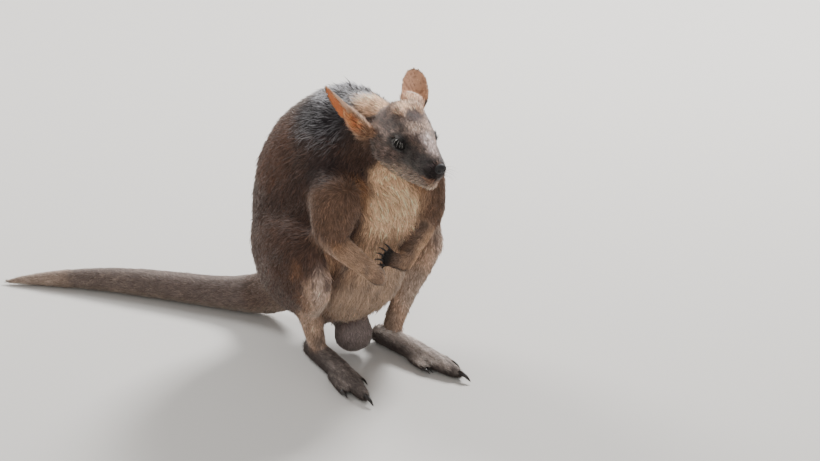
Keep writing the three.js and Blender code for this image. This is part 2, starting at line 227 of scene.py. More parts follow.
EYE_OUT = 19.5  # from the middle of the head to the middle of an eyeball
EYE_RADIUS = 7.6
EYE_WAY = np.array((0.9, -0.36, 0.2))  # the way the left eye looks
SLIT_LINE = np.array((0, -1.0, -0.28))  # from the eye's back corner to its front one
SLIT = (6.8, 2.5)  # half its length and half its height
LID_REACH = 16  # from the eyeball's middle to where the lids end
LID_THICK = 1.0
BEHIND_SLIT = 1.6  # how far the hide drops under the eyeball's front inside the slit
LIPS = [(1, -55, -25), (8, -47, -26.5), (13, -36, -28), (17.5, -24, -30.5), (21, -13, -32.5)]
CREASE_HALF, CREASE_DEPTH = 1.7, 1.8  # half the width of the crease between the lips, and its depth


def in_head(p):
    """Places seen from midway between the eyes, with the head level and facing -Y."""
    return (p - HEAD_PLACE) @ HEAD_TURN


def from_head(p):
    return np.asarray(p) @ HEAD_TURN.T + HEAD_PLACE


def slit_of(p, side):
    """Each place from the eyeball's middle, its distance, and 1 on the slit's edge, less inside it."""
    out = unit(EYE_WAY * (side, 1, 1))
    along = unit(SLIT_LINE - out * (out @ SLIT_LINE))
    up = np.cross(out, along) * -side
    d = in_head(p) - np.array((EYE_OUT * side, 0, 0))
    measure = np.hypot(d @ along / SLIT[0], (d @ up) / SLIT[1])
    return d, np.linalg.norm(d, axis=1), np.where(d @ out > 0, measure, 9.0)


def on_both_sides(p):
    return np.c_[np.abs(p[:, 0]), p[:, 1:]]


def from_path(p, path):
    """Distance from a path of straight lengths, on both sides, and the share of it that is passed."""
    q, path = on_both_sides(p), np.array(path, float)
    best, share = np.full(len(q), 1e9), np.zeros(len(q))
    for i, (a, b) in enumerate(zip(path[:-1], path[1:])):
        t = np.clip((q - a) @ (b - a) / ((b - a) @ (b - a)), 0, 1)
        far = np.linalg.norm(q - a - t[:, None] * (b - a), axis=1)
        share = np.where(far < best, (i + t) / (len(path) - 1), share)
        best = np.minimum(best, far)
    return best, share


now = places_of(skin.data)
fine = from_path(in_head(now), LIPS)[0] < 4
for side in (1, -1):
    _, r, measure = slit_of(now, side)
    fine |= (r < LID_REACH) & (measure < 2.4)
bm = bmesh.new()
bm.from_mesh(skin.data)
close = [e for e in bm.edges if fine[e.verts[0].index] and fine[e.verts[1].index]]
bmesh.ops.subdivide_edges(bm, edges=close, cuts=1, use_grid_fill=True)
bmesh.ops.triangulate(bm, faces=bm.faces)
bm.to_mesh(skin.data)
bm.free()

places = places_of(skin.data)
for side in (1, -1):
    d, r, measure = slit_of(places, side)
    held = (1 - ease(measure, 1.4, 2.2)) * (r < LID_REACH)
    lid = EYE_RADIUS + LID_THICK - 0.6 * ease(measure, 1.25, 1.8)
    reach = np.where(measure < 1.0, EYE_RADIUS - BEHIND_SLIT, lid)
    places = from_head(in_head(places) + d * (held * (reach - r) / np.maximum(r, 1e-6))[:, None])
put_places(skin.data, places)

lip_far, lip_share = from_path(in_head(places), LIPS)
crease = np.exp(-((lip_far / CREASE_HALF) ** 2)) * (1 - 0.6 * ease(lip_share, 0.85, 1.0))
places -= unit(normals_of(skin.data)) * (CREASE_DEPTH * crease)[:, None]
put_places(skin.data, places)

nearest = np.array([before.find(p)[1] for p in places])
owners, coat = owners[nearest], coat[nearest]
part_at = part_names[owners]
skin_normals = unit(normals_of(skin.data))
edges = edges_of(skin.data)

# ---------------------------------------------------------------------------------------------
# The markings, the same on the skin and on every hair: grizzled brown, with a black saddle that
# carries a painted blue-white sheen over the hump, a pale nape, throat, chest, belly and shins, a dark
# muzzle deepened by painted shade under a faint pale cheek stripe, black fingers and streaked feet.
# Painted light and shade are laid in too: rim light on the ears' edges, light on the left thigh, the
# glow through the right ear, and shade inside the forearms, under the wrists, along the soles and on
# the right foot. They are grown into each hair.

SHADES = {  # red, green and blue as a painter's swatch, 0 to 255
    "head": (104, 85, 76),
    "lower_jaw": (168, 140, 120),
    "ear": (164, 126, 98),
    "neck": (74, 55, 46),
    "trunk": (66, 47, 39),
    "thigh": (76, 54, 44),
    "shank": (186, 154, 132),
    "hind_foot": (80, 70, 66),
    "upper_arm": (106, 80, 64),
    "forearm": (182, 147, 120),
    "hand": (110, 88, 74),
    "scrotum": (134, 120, 116),
    "tail_root": (98, 80, 70),
    "tail_upper": (108, 93, 86),
    "tail_lower": (114, 99, 91),
    "tail_tip": (138, 118, 104),
}
CREAM, BLACK, BUFF = (233, 190, 152), (30, 28, 34), (138, 98, 66)
# Soft-edged marks on the body, with their middles and half sizes, on both sides alike
BODY_MARKS = [
    ((58, 40, 262), (36, 44, 52), (88, 60, 46), 0.7),  # warm brown of the back's sides
    ((0, -22, 316), (68, 48, 42), BLACK, 0.88),  # saddle of black hair over the shoulders
    ((62, -58, 270), (20, 26, 28), (50, 38, 36), 0.75),  # top of the shoulder
    ((0, -72, 338), (30, 26, 15), (214, 172, 136), 0.95),  # nape
    ((24, -88, 326), (12, 12, 12), (62, 49, 44), 0.8),  # behind the ear
    ((34, -90, 272), (14, 22, 20), (64, 46, 38), 0.8),  # side of the neck
    ((40, -92, 246), (10, 18, 26), BUFF, 0.7),  # where the neck meets the shoulder
    ((0, -104, 258), (32, 30, 26), CREAM, 1.0),  # throat
    ((0, -112, 216), (42, 40, 46), CREAM, 1.0),  # chest
    ((0, -96, 152), (52, 44, 56), (206, 167, 136), 1.0),  # upper belly
    ((0, -70, 96), (62, 52, 50), (176, 148, 126), 1.0),  # lower belly
    ((62, -66, 168), (14, 20, 30), (168, 132, 104), 0.6),  # fold between the belly and the haunch
    ((84, -90, 190), (18, 16, 9), (150, 112, 80), 0.55),  # elbow
    ((104, -54, 136), (6, 14, 50), (134, 96, 70), 0.6),  # front edge of the haunch
    ((88, -82, 128), (13, 16, 66), (184, 160, 146), 0.72),  # knee
    ((92, -44, 98), (11, 14, 34), (112, 80, 60), 0.6),  # outside of the shin
    ((66, -62, 78), (17, 20, 38), (172, 152, 138), 0.8),  # front of the shin
    ((50, -34, 40), (16, 16, 18), (132, 112, 98), 0.7),  # ankle
]
# The same on the head, laid out from midway between the eyes
HEAD_MARKS = [
    # The muzzle, the band from the eye to it and the ring round the eye are their own dark colour
    # deepened by painted shade, and the pale bridge of the nose is partly a painted highlight on its
    # sunlit top
    ((12, -42, -13), (14, 20, 16), (40, 32, 32), 1.0),  # muzzle
    ((19, -22, -11), (10, 19, 15), (44, 35, 34), 0.92),  # from the eye to the muzzle
    ((21, -2, -1), (13, 16, 10.5), (24, 18, 18), 1.0),  # round the eye
    ((0, -33, 9), (8, 24, 8), (176, 154, 147), 0.85),  # bridge of the nose
    ((9, -5, 18), (10, 9, 7), (150, 124, 108), 0.75),  # brow
    ((13, 24, 29), (16, 13, 11), (182, 142, 112), 0.85),  # crown
    ((2, 8, 25), (7.5, 9.5, 7), (48, 33, 32), 0.95),  # flecks on the forehead
    ((14, 33, 28), (7, 7, 7), (54, 38, 34), 0.75),  # fleck at the back of the crown
    ((25, 12, 14), (7, 10, 9), (84, 68, 60), 0.7),  # temple
    ((24, 24, 17), (12, 16, 11), (58, 43, 38), 0.85),  # under the ear's front edge
    ((28, 12, -23), (12, 26, 15), (98, 80, 72), 0.8),  # cheek
    ((0, -36, -37), (20, 26, 6), (206, 172, 146), 0.9),  # chin
    ((0, 12, -50), (34, 36, 14), CREAM, 1.0),  # under the jaw
]
CHEEK_STRIPE = [(22, -9, -13), (25, 2, -16), (29, 12, -16), (32, 22, -13)]
TOUCHES = {  # swatches of the smaller marks that follow
    "above the lip": (42, 33, 32),
    "cheek stripe": (156, 132, 122),
    "orange edge of the lip": (204, 146, 108),
    "line of the lips": (28, 22, 21),
    "rim of the eyelids": (22, 17, 15),
    # The right ear's hollow is painted with the orange glow of light shining through the ear, and the
    # pale edges of both ears with rim light
    "right ear's hollow": (220, 130, 82),
    "left ear's hollow": (208, 154, 120),
    "grain of the hollow": (118, 80, 66),
    "right ear's edge": (212, 164, 124),
    "left ear's edge": (242, 218, 198),
    "cone of the ear": (152, 114, 88),
    "before the ears": (52, 38, 34),
    "fingers": (26, 22, 21),
    # Painted shade on the inner side of the forearms, and under the wrists
    "inside of the forearm": (84, 68, 60),
    "outside of the forearm": (196, 152, 116),
    "wrists": (104, 84, 72),
    "under the wrists": (40, 31, 28),
    "streaks of the foot": (58, 49, 46),
    "top of the foot": (214, 198, 188),
    "toes": (52, 44, 41),
    # Painted shade along the bottom edge of each foot, by the ground
    "edge of the sole": (56, 47, 43),
    "under the tail": (150, 132, 118),
    "end of the tail": (160, 140, 126),
    "grey of the belly": (126, 112, 102),
    "streaks of the knee": (92, 74, 66),
    # Painted light on the sunlit left thigh
    "left thigh": (188, 164, 148),
    "swirl on the breast": (112, 88, 80),
}
SWIRL = np.array((-35, -104, 211), float)
WRISTS = np.array(((0, -116, 153), (-42, -122, 150)), float)
EAR_MOUTHS = unit(np.array(((-0.4, -0.8, 0.45), (-0.84, -0.02, -0.62))))  # the way each hollow faces
SIDE_LINE = 8  # what lies to the right of this line is marked as the animal's right side
# Each of these pairs is for the right side and the left
HOLLOW_FROM = (12, 26)  # from the ear's foot to the start of its bare hollow
# The pale edge of each ear is painted rim light
RIM_LIGHT_FROM = (0.12, 0.35)  # how far the ear's pale edge turns in
HOLLOW_GRAIN = (0.1, 0.6)
# How strongly shade is painted on the inner side of each forearm
FOREARM_SHADE = (0.25, 0.85)
# The right foot's top is kept darker by painted shade
FOOT_PALENESS_RIGHT_SHADED = (0.3, 1.0)
UNDERFUR = 0.8  # brightness of the hide against that of the hair over it


def paint(swatch):
    """A painter's swatch as light, from 0 to 1."""
    c = np.asarray(swatch, float) / 255
    return np.where(c <= 0.04045, c / 12.92, ((c + 0.055) / 1.055) ** 2.4)


def wander(p, size, seed, waves=7):
    """Smooth unevenness between about -1 and 1, with patches of the given size."""
    rng = np.random.default_rng(seed)
    k = rng.normal(size=(waves, 3)) * 2.2 / size
    return np.sin(p @ k.T + rng.uniform(0, 6.28, waves)).mean(1) * 1.6


def ragged(p, size, seeds, by):
    """Places pushed about a little, which gives the marks laid out on them uneven edges."""
    return p + np.stack([wander(p, size, seed) for seed in seeds], 1) * by


def near(p, middle, halves, low=0.6, high=1.25):
    """1 inside the given egg, on both sides of the animal alike, and 0 well outside it."""
    reach = np.linalg.norm((on_both_sides(p) - middle) / np.array(halves, float), axis=1)
    return (1 - ease(reach, low, high))[:, None]


def fading(wanted, rounds):
    """1 on the wanted part of the skin, fading to 0 over its border."""
    return spread(wanted.astype(float), edges, rounds)


def facing(way, low, high):
    """1 where the skin faces the given way, and 0 where it turns from it."""
    return ease(skin_normals @ unit(np.array(way, float)), low, high)[:, None]


def mark(colour, p, marks):
    """Lays soft-edged marks over the colour, each by its middle, half sizes, swatch and strength."""
    for middle, halves, swatch, strength in marks:
        colour = colour + (paint(swatch) - colour) * strength * near(p, middle, halves, 0.7, 1.3)
    return colour


def touch(colour, touches):
    """Brings the colour towards each named swatch in turn, by a share for each place."""
    for name, share in touches:
        colour = colour + (paint(TOUCHES[name]) - colour) * share
    return colour


# The broad colours and marks of the body
body_share = fading(np.isin(part_at, ("trunk", "neck", "shank", "thigh", "upper_arm", "forearm")), 5)
on_head = np.isin(part_at, ("head", "lower_jaw"))
head_share = fading(on_head, 5)
colour = spread(np.array([paint(SHADES[part]) for part in part_names])[owners], edges, 22)
warped = ragged(places, 12, (1, 2, 3), 2.5)
colour += (mark(colour, warped, BODY_MARKS) - colour) * body_share
# Painted sheen: the blue-white shine of light over the top of the hump, fainter on the sides of the
# shoulders, laid on as white tips and paler middles of the locks
hump_sheen = near(warped, (0, -16, 338), (50, 54, 26))
side_sheen = near(warped, (44, -22, 300), (24, 40, 26))
frost = np.maximum(hump_sheen, 0.5 * side_sheen) * body_share

# The head, with the lips and the rims of the eyelids
skull = in_head(places)
skull_warped = ragged(skull, 6, (4, 5, 6), 0.9)
above_lip, _ = from_path(skull_warped, np.array(LIPS[:4]) + (1, 0, 6.5))
stripe_far, _ = from_path(skull_warped, CHEEK_STRIPE)
lip_edge = np.exp(-(((lip_far - 3.0) / 2.2) ** 2))[:, None] * facing(HEAD_TURN @ (0, 0, -1), -0.3, 0.4)
head_colour = touch(mark(colour, skull_warped, HEAD_MARKS), [
    ("above the lip", 0.95 * (1 - ease(above_lip, 4, 9))[:, None]),
    ("cheek stripe", 0.5 * (1 - ease(stripe_far, 1.5, 5.5))[:, None]),
    ("orange edge of the lip", 0.7 * lip_edge),
    ("line of the lips", np.exp(-((lip_far / 1.2) ** 2))[:, None]),
])
colour += (head_colour - colour) * head_share
off_rim = np.ones(len(places))
for side in (1, -1):
    _, r, measure = slit_of(places, side)
    off_rim = np.minimum(off_rim, np.where(r < LID_REACH, ease(measure, 1.25, 1.6), 1))
off_rim = off_rim[:, None]

# The ears are grizzled outside and bare inside. The right ear's hollow is painted bright orange with the
# glow of light shining through it, and the pale edges of both ears are painted rim light.
on_right = places[:, 0] < SIDE_LINE
right, left = on_right[:, None], ~on_right[:, None]
ear = part_at == "ear"
foot_far = from_nearest(places, EAR_FEET)
nearest_ear = np.linalg.norm(places[:, None] - EAR_FEET, axis=2).argmin(1)
into_ear = (skin_normals * EAR_MOUTHS[nearest_ear]).sum(1)
hollow_from = np.where(on_right, *HOLLOW_FROM)
hollow = (ear * ease(foot_far, hollow_from, hollow_from + 12) * ease(into_ear, 0.0, 0.35))[:, None]
hollow_grain = ease(wander(places, 1.6, 34), 0.0, 0.7)[:, None] * np.where(right, *HOLLOW_GRAIN)
rim_light_from = np.where(on_right, *RIM_LIGHT_FROM)
# Painted rim light along the edges of the ears
edge = 1 - ease(np.abs(into_ear), rim_light_from, rim_light_from + 0.33)
edge = (ear * ease(foot_far, 30, 44) * edge)[:, None]
cone = (ear * (1 - ease(foot_far, 26, 44)))[:, None]
colour = touch(colour, [
    ("rim of the eyelids", 1 - off_rim),
    ("right ear's hollow", hollow * right),
    ("left ear's hollow", hollow * left),
    ("grain of the hollow", hollow * hollow_grain),
    ("right ear's edge", 0.7 * edge * right),
    ("left ear's edge", edge * left),
    ("cone of the ear", 0.85 * cone * (1 - hollow)),
    ("before the ears", 0.85 * near(places, (14, -96, 322), (9, 9, 9))),
])

# The hands darken to black fingers, and painted shade darkens the inner side of each forearm, the left
# one most. The wrists are darker, with painted shade underneath, the right one all over and the left one
# where it has crossed the line.
wrist_far = from_nearest(places, WRISTS)
on_forearm = fading(part_at == "forearm", 4)
forearm_shade = facing((-0.75, -0.35, 0.55), 0.15, 0.75) * np.where(right, *FOREARM_SHADE)
on_arm = np.isin(part_at, ("forearm", "hand"))
wrists = (on_right * on_arm * (1 - ease(wrist_far, 11, 20)))[:, None]
colour = touch(colour, [
    ("fingers", ((part_at == "hand") * ease(wrist_far, 12, 25))[:, None]),
    ("inside of the forearm", on_forearm * forearm_shade),
    ("outside of the forearm", 0.5 * on_forearm * facing((0.3, -0.5, -0.8), 0.1, 0.8)),
    ("wrists", 0.5 * wrists),
    ("under the wrists", 0.9 * wrists * facing((0, 0, -1), 0.3, 0.75)),
])

# The feet are streaked, dark at the toes, with painted shade along the soles by the ground, and pale on
# top, the right foot less so where shade is painted over it. The tail is paler underneath and at its
# end.
on_foot = fading(part_at == "hind_foot", 2)
streaks = wander(places * (1, 0.16, 0.6), 3.2, 31)[:, None]
foot_top = facing((0, 0, 1), 0.1, 0.7) * np.where(right, *FOOT_PALENESS_RIGHT_SHADED)
on_tail = fading(np.char.startswith(part_at, "tail"), 6)
colour = touch(colour, [
    ("streaks of the foot", 0.75 * on_foot * ease(streaks, 0.1, 0.9)),
    ("top of the foot", on_foot * foot_top * (0.4 + 0.6 * ease(-streaks, -0.2, 0.7))),
    ("toes", 0.6 * on_foot * ease(-places[:, 1:2], 118, 142)),
    ("edge of the sole", 0.7 * on_foot * (1 - ease(places[:, 2:3], 3, 9))),
    ("under the tail", 0.6 * on_tail * facing((0, 0, -1), 0.1, 0.8)),
    ("end of the tail", ease(places[:, 1:2] - places[:, 0:1], 480, 560)),
])

# Grey streaks run down the cream of the belly and dark ones down the knees, painted light makes the left
# thigh paler than the right, and a small dark swirl marks the breast
on_belly = facing((0, -1, 0), 0.0, 0.5) * body_share * (np.abs(places[:, 0:1]) < 60)
grey = ease(wander(places * (1, 1, 0.22), 6, 32), 0.15, 1.0)[:, None] * ease(205 - places[:, 2:3], 0, 50)
knee = ease(wander(places * (1, 1, 0.2), 4.5, 33), 0.1, 0.9)[:, None]
left_thigh_light = near(places, (90, -40, 160), (34, 40, 62)) * (places[:, 0:1] > 0) * body_share
swirl_far = np.linalg.norm(places - SWIRL, axis=1)[:, None]
colour = touch(colour, [
    ("grey of the belly", 0.7 * on_belly * grey),
    ("streaks of the knee", 0.75 * knee * near(places, (84, -78, 134), (26, 26, 60))),
    ("left thigh", 0.75 * left_thigh_light),
    ("swirl on the breast", 0.6 * (1 - ease(swirl_far, 2.5, 8))),
])

# Unevenness over the whole coat, and the coarser mottling of the head
colour *= (1 + 0.1 * wander(places, 26, 8) + 0.08 * wander(places, 7, 9))[:, None]
colour *= 1 + 0.35 * wander(skull * (1, 0.6, 1), 2.2, 10)[:, None] * head_share * off_rim
colour = np.clip(colour, 0.004, 0.9)


def keep_colour(mesh, values):
    layer = mesh.attributes.new("fur_colour", "FLOAT_COLOR", "POINT")
    layer.data.foreach_set("color", np.c_[values, np.ones(len(values))].astype(np.float32).ravel())


keep_colour(skin.data, colour * UNDERFUR)

# Fine grain of hair, skin and horn, laid over a colour by its place on the animal
fine_grain = bpy.data.node_groups.new("fine_grain", "ShaderNodeTree")
for name, way, kind in [
    ("Colour", "INPUT", "NodeSocketColor"),
    ("Scale", "INPUT", "NodeSocketFloat"),
    ("Detail", "INPUT", "NodeSocketFloat"),
    ("Darkest", "INPUT", "NodeSocketFloat"),
    ("Lightest", "INPUT", "NodeSocketFloat"),
    ("Grained Colour", "OUTPUT", "NodeSocketColor"),
    ("Height", "OUTPUT", "NodeSocketFloat"),
]:
    fine_grain.interface.new_socket(name=name, in_out=way, socket_type=kind)
given = fine_grain.nodes.new("NodeGroupInput")
where = fine_grain.nodes.new("ShaderNodeTexCoord")
noise = fine_grain.nodes.new("ShaderNodeTexNoise")
shade = fine_grain.nodes.new("ShaderNodeMapRange")
tint = fine_grain.nodes.new("ShaderNodeVectorMath")
tint.operation = "SCALE"
result = fine_grain.nodes.new("NodeGroupOutput")
for source, target in [
    (where.outputs["Object"], noise.inputs["Vector"]),
    (given.outputs["Scale"], noise.inputs["Scale"]),
    (given.outputs["Detail"], noise.inputs["Detail"]),
    (noise.outputs["Fac"], shade.inputs["Value"]),
    (given.outputs["Darkest"], shade.inputs["To Min"]),
    (given.outputs["Lightest"], shade.inputs["To Max"]),
    (given.outputs["Colour"], tint.inputs["Vector"]),
    (shade.outputs["Result"], tint.inputs["Scale"]),
    (tint.outputs["Vector"], result.inputs["Grained Colour"]),
    (noise.outputs["Fac"], result.inputs["Height"]),
]:
    fine_grain.links.new(source, target)


def grained_finish(name, surface, grain, swatch=None, relief=None):
    """A finish with a fine grain. With no swatch, its colour comes from the markings. The relief is
    the depth of its bumps and their strength."""
    material = bpy.data.materials.new(name)
    material.use_nodes = True
    nodes, links = material.node_tree.nodes, material.node_tree.links
    shader = nodes["Principled BSDF"]
    for socket, value in surface.items():
        shader.inputs[socket].default_value = value
    grained = nodes.new("ShaderNodeGroup")
    grained.node_tree = fine_grain
    for socket, value in grain.items():
        grained.inputs[socket].default_value = value
    if swatch:
        grained.inputs["Colour"].default_value = (*paint(swatch), 1)
    else:
        own = nodes.new("ShaderNodeAttribute")
        own.attribute_name = "fur_colour"
        links.new(own.outputs["Color"], grained.inputs["Colour"])
    links.new(grained.outputs["Grained Colour"], shader.inputs["Base Color"])
    if relief:
        bump = nodes.new("ShaderNodeBump")
        bump.inputs["Distance"].default_value, bump.inputs["Strength"].default_value = relief
        links.new(grained.outputs["Height"], bump.inputs["Height"])
        links.new(bump.outputs["Normal"], shader.inputs["Normal"])
    return material


HIDE_SURFACE = {"Roughness": 0.75, "Specular IOR Level": 0.25}
HIDE_GRAIN = {"Scale": 1 / (0.9 * MM), "Detail": 3, "Darkest": 0.72, "Lightest": 1.28}
skin.data.materials.clear()
skin.data.materials.append(grained_finish("hide", HIDE_SURFACE, HIDE_GRAIN, relief=(0.5 * MM, 1.0)))
skin.data.polygons.foreach_set("use_smooth", np.ones(len(skin.data.polygons), dtype=bool))
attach(skin, "root")
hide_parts(*node_names)

# ---------------------------------------------------------------------------------------------
# The coat: pointed locks of hair rooted in the skin. They are longest on the back, haunches and
# belly and shortest on the face and feet, and lie from the nose backward and down to the ground.

BODY_LOCKS, BODY_LAYERS = 108000, 6
BODY_ROUNDNESS = 0.5  # how much of a lock's own roundness shows
LONG_HAIRED = ("neck", "trunk", "thigh", "shank", "upper_arm", "tail_root")
SHORT_COATS = [  # name, slot, parts, locks, seed and roundness
    ("head_coat", "head_fur", ("head", "lower_jaw"), 62000, 9, 0.95),
    ("ear_coat", "ear_skin", ("ear",), 20000, 8, 0.5),
    ("arm_coat", "arm_fur", ("forearm", "hand"), 26000, 8, 0.5),
    ("foot_coat", "foot_fur", ("hind_foot", "scrotum"), 32000, 9, 0.5),
    ("tail_coat", "tail_fur", ("tail_upper", "tail_lower", "tail_tip"), 30000, 9, 0.5),
]
SOLE = 1.2  # the soles and the underside of the tail are bare up to this height
NOSE, NOSE_HALVES = (0, -52, -7), (8.5, 6, 7)  # the bare end of the muzzle, in the head
ROOT_DEPTH = 0.5  # how far a lock starts under the hide
FLATTEST, STEEPEST = 0.06, 0.62  # lift of a lock, in radians
SHEET_FACES = 5000  # of the coarse copy that is laid out flat
PATCH = 0.0015  # half the width of a lock's patch on the unwrap
PATCH_CORNERS = np.array([[math.cos(t), math.sin(t)] for t in (3.6, 5.8, 1.57)])
# A lock's corners are its root ring, its waist ring if it is bent, and its tip
STRAIGHT_FACES = [(1, 2, 3), (2, 0, 3), (0, 1, 3)]
BENT_FACES = [(1, 2, 5), (1, 5, 4), (2, 0, 3), (2, 3, 5), (0, 1, 4), (0, 4, 3)]
BENT_FACES += [(4, 5, 6), (5, 3, 6), (3, 4, 6)]
# Half the width of a lock's ring and the height of its crest, as shares of the lock's width
ROOT_RING, WAIST_RING = (0.5, 0.45), (0.36, 0.32)
ROOT_TONE, TIP_TONE = 0.62, 1.22  # of a hair, against its middle
# The blue-white of the painted sheen on the hump, given to the tips of its locks
SHEEN_WHITE = np.array((0.94, 0.94, 1))

normals = unit(spread(skin_normals, edges, 2))
lie = coat[:, 5:8].copy()
whirl = 0.25 * np.exp(-((swirl_far / 11) ** 2))
lie += np.cross(places - SWIRL, (0, -1, 0)) * whirl
lie += np.array((0, 1.1, 0)) * ease(normals[:, 2:3], 0.3, 0.9) * body_share  # backward along the back
belly = on_belly * ease(160 - places[:, 2:3], 0, 50) * ease(places[:, 2:3], 60, 90)
crown = near(skull, (0, 24, 28), (24, 18, 14)) * head_share
pelt = {
    "length": coat[:, 1:2] * (1 + 0.3 * belly + 0.3 * frost + 0.5 * crown),
    "width": coat[:, 2:3],
    "lift": np.radians(coat[:, 3:4]),
    "lie": lie,
    "normal": normals,
    "colour": colour,
    "frost": frost,
    "grizzle": 0.24 + 0.28 * head_share + 0.2 * ear[:, None] - 0.06 * belly,
}

skin.data.calc_loop_triangles()
flat = np.empty(len(skin.data.loop_triangles) * 3, dtype=np.int32)
skin.data.loop_triangles.foreach_get("vertices", flat)
skin_tris = flat.reshape(-1, 3)
corner = places[skin_tris]
tri_area = np.linalg.norm(np.cross(corner[:, 1] - corner[:, 0], corner[:, 2] - corner[:, 0]), axis=1) / 2

bare = places[:, 2] < SOLE
for side in (1, -1):
    _, r, measure = slit_of(places, side)
    bare |= (r < 14) & (measure < 1.35)
nose_far = np.linalg.norm((skull - NOSE) / NOSE_HALVES, axis=1)
bare |= on_head & ((nose_far < 1.0) | (lip_far < 0.9))


def unwrap(wanted, name):
    """Lays a coarse copy of part of the skin out flat, and gives its place there to each vertex."""
    bm = bmesh.new()
    bm.from_mesh(skin.data)
    bmesh.ops.delete(bm, geom=[v for v in bm.verts if not wanted[v.index]], context="VERTS")
    mesh = bpy.data.meshes.new(name)
    bm.to_mesh(mesh)
    bm.free()
    coarse = bpy.data.objects.new(name, mesh)
    bpy.context.scene.collection.objects.link(coarse)
    thin = coarse.modifiers.new("thin", "DECIMATE")
    thin.ratio = min(1, SHEET_FACES / len(mesh.polygons))
    through_modifiers(coarse)
    bpy.ops.object.select_all(action="DESELECT")
    coarse.select_set(True)
    bpy.context.view_layer.objects.active = coarse
    bpy.ops.object.mode_set(mode="EDIT")
    bpy.ops.mesh.select_all(action="SELECT")
    bpy.ops.uv.smart_project(angle_limit=1.15, island_margin=0.004)
    bpy.ops.object.mode_set(mode="OBJECT")
    mesh = coarse.data
    layer = mesh.uv_layers.active.data
    sheet = BVHTree.FromPolygons([v.co for v in mesh.vertices], [p.vertices[:] for p in mesh.polygons])
    flat_places = np.zeros((len(wanted), 2))
    for i in np.flatnonzero(wanted):
        at, _, face, _ = sheet.find_nearest(skin.data.vertices[i].co)
        polygon = mesh.polygons[face]
        spots = [mesh.vertices[v].co for v in polygon.vertices]
        weights = np.array([1 / ((at - spot).length + 1e-5) for spot in spots])
        uv = np.array([layer[loop].uv for loop in polygon.loop_indices])
        flat_places[i] = weights @ uv / weights.sum()
    bpy.data.objects.remove(coarse)
    bpy.data.meshes.remove(mesh)
    return flat_places


def locks_on(wanted, count, seed, flat_places, bent):
    """Three-sided pointed locks on part of the skin, as arrays. A bent one has a waist halfway along."""
    rng = np.random.default_rng(seed)

    # Roots, closer together where the locks are narrow
    keep = wanted[skin_tris].all(1) & ~bare[skin_tris].any(1)
    density = tri_area * keep / pelt["width"][skin_tris, 0].mean(1) ** 1.6
    steps = np.cumsum(density)
    chosen = np.searchsorted(steps, (np.arange(count) + rng.random(count)) / count * steps[-1])
    chosen = np.minimum(chosen, len(skin_tris) - 1)
    a, b = np.sqrt(rng.random(count)), rng.random(count)
    share = np.stack([1 - a, a * (1 - b), a * b], 1)
    index = skin_tris[chosen]

    def at(values):
        return (values[index] * share[:, :, None]).sum(1)

    hair = {key: at(value) for key, value in pelt.items()}
    root = at(places)
    n = unit(hair["normal"])

    # Shape: laid along the coat, with clumps that part from it and single locks that stray
    clump = wander(root, 9, 21)[:, None]
    turn = 0.3 * clump + 0.22 * rng.normal(size=(count, 1)) + 0.2 * wander(root, 34, 22)[:, None]
    d = unit(hair["lie"] - n * (hair["lie"] * n).sum(1, keepdims=True))
    d = unit(d * np.cos(turn) + np.cross(n, d) * np.sin(turn))
    across = np.cross(n, d)
    lift = hair["lift"] * (1 + 0.35 * rng.normal(size=(count, 1)) + 0.18 * clump)
    lift = np.clip(lift, FLATTEST, STEEPEST)
    size = hair["length"] * np.exp(0.2 * rng.normal(size=(count, 1)))
    width = hair["width"] * np.exp(0.18 * rng.normal(size=(count, 1)))
    start = root - n * ROOT_DEPTH
    waist = start + (d * np.cos(lift) + n * np.sin(lift)) * size * 0.5
    tip = waist + (d * np.cos(lift * 0.25) + n * np.sin(lift * 0.25)) * size * 0.5

    # Shades: grizzled from lock to lock, darker at the root, and white-tipped where the sheen over the
    # hump is painted
    ticks = 2.0 * wander(root, 1.3, 24, 11) + 0.9 * wander(root, 2.5, 25, 11)
    ticking = 0.1 * wander(root, 4, 23)[:, None] + 1.9 * (hair["grizzle"] - 0.12) * ticks[:, None]
    tone = np.exp(hair["grizzle"] * rng.normal(size=(count, 1)) + ticking)
    pale = rng.random((count, 1)) < 0.1 + 0.25 * hair["grizzle"] + 0.6 * hair["frost"]
    whitened = hair["colour"] * 1.35 + (0.05 + 0.75 * hair["frost"] ** 2) * SHEEN_WHITE
    toned = hair["colour"] * tone
    base = toned * ROOT_TONE
    mid = np.clip(toned + 0.22 * pale * hair["frost"], 0, 0.9)
    end = np.clip(np.where(pale, whitened * np.minimum(tone, 1), toned * TIP_TONE), 0, 0.9)

    def ring(middle, shares):
        half, crest = width * shares[0], width * shares[1]
        return [middle - across * half, middle + across * half, middle + n * crest]

    spot = flat_places[index[np.arange(count), share.argmax(1)]]
    outer = [spot + PATCH * c for c in PATCH_CORNERS]
    if bent:
        inner = [spot + PATCH * 0.5 * c for c in PATCH_CORNERS]
        points = [*ring(start, ROOT_RING), *ring(waist, WAIST_RING), tip]
        shades, spots, faces = [base] * 3 + [mid] * 3 + [end], [*outer, *inner, spot], BENT_FACES
    else:
        points = [*ring(start, ROOT_RING), tip]
        shades, spots, faces = [base] * 3 + [end * 1.05], [*outer, spot], STRAIGHT_FACES
    each = len(points)
    all_faces = np.array(faces)[None] + (np.arange(count) * each)[:, None, None]
    points, shades = (np.stack(arrays, 1).reshape(-1, 3) for arrays in (points, shades))
    spots = np.stack(spots, 1).reshape(-1, 2)
    return points, all_faces.reshape(-1, 3), shades, spots, np.repeat(n, each, axis=0)


FUR_SURFACE = {
    "Roughness": 0.62,
    "Specular IOR Level": 0.25,
    "Sheen Weight": 0.25,
    "Sheen Roughness": 0.4,
    "Sheen Tint": (1.0, 0.92, 0.84, 1),
}
fur = grained_finish("fur", FUR_SURFACE, {**HIDE_GRAIN, "Scale": 1 / (2.2 * MM)})


